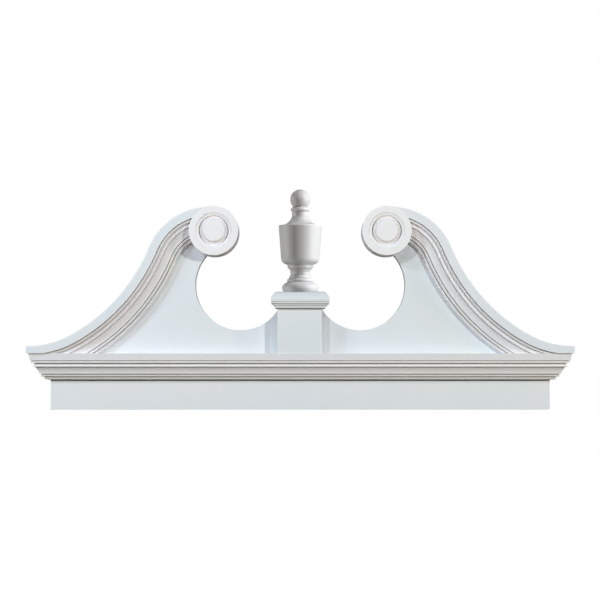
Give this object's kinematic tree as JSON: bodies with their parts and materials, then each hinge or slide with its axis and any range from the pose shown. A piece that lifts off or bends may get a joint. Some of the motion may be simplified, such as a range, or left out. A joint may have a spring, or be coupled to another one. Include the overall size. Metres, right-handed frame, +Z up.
{
  "type": "door pediment",
  "caption": "Swan-neck door pediment in moulded white polyurethane, with a mitred cornice, curling raking mouldings, bullseye volutes, a centre pedestal and a turned urn.",
  "frame": {"origin": "on the flat back, at mid-length and mid-height of the frieze board", "axes": "+X along the wall to the right as seen from the front, +Y into the wall, +Z up"},
  "size_m": [1.384, 0.1185, 0.5611],
  "materials": {
    "pediment_paint": "satin white paint on moulded polyurethane",
    "urn_paint": "satin white paint on moulded polyurethane"
  },
  "bodies": {
    "root": {"pediment": "pediment_paint", "urn": "urn_paint"}
  },
  "joints": []
}
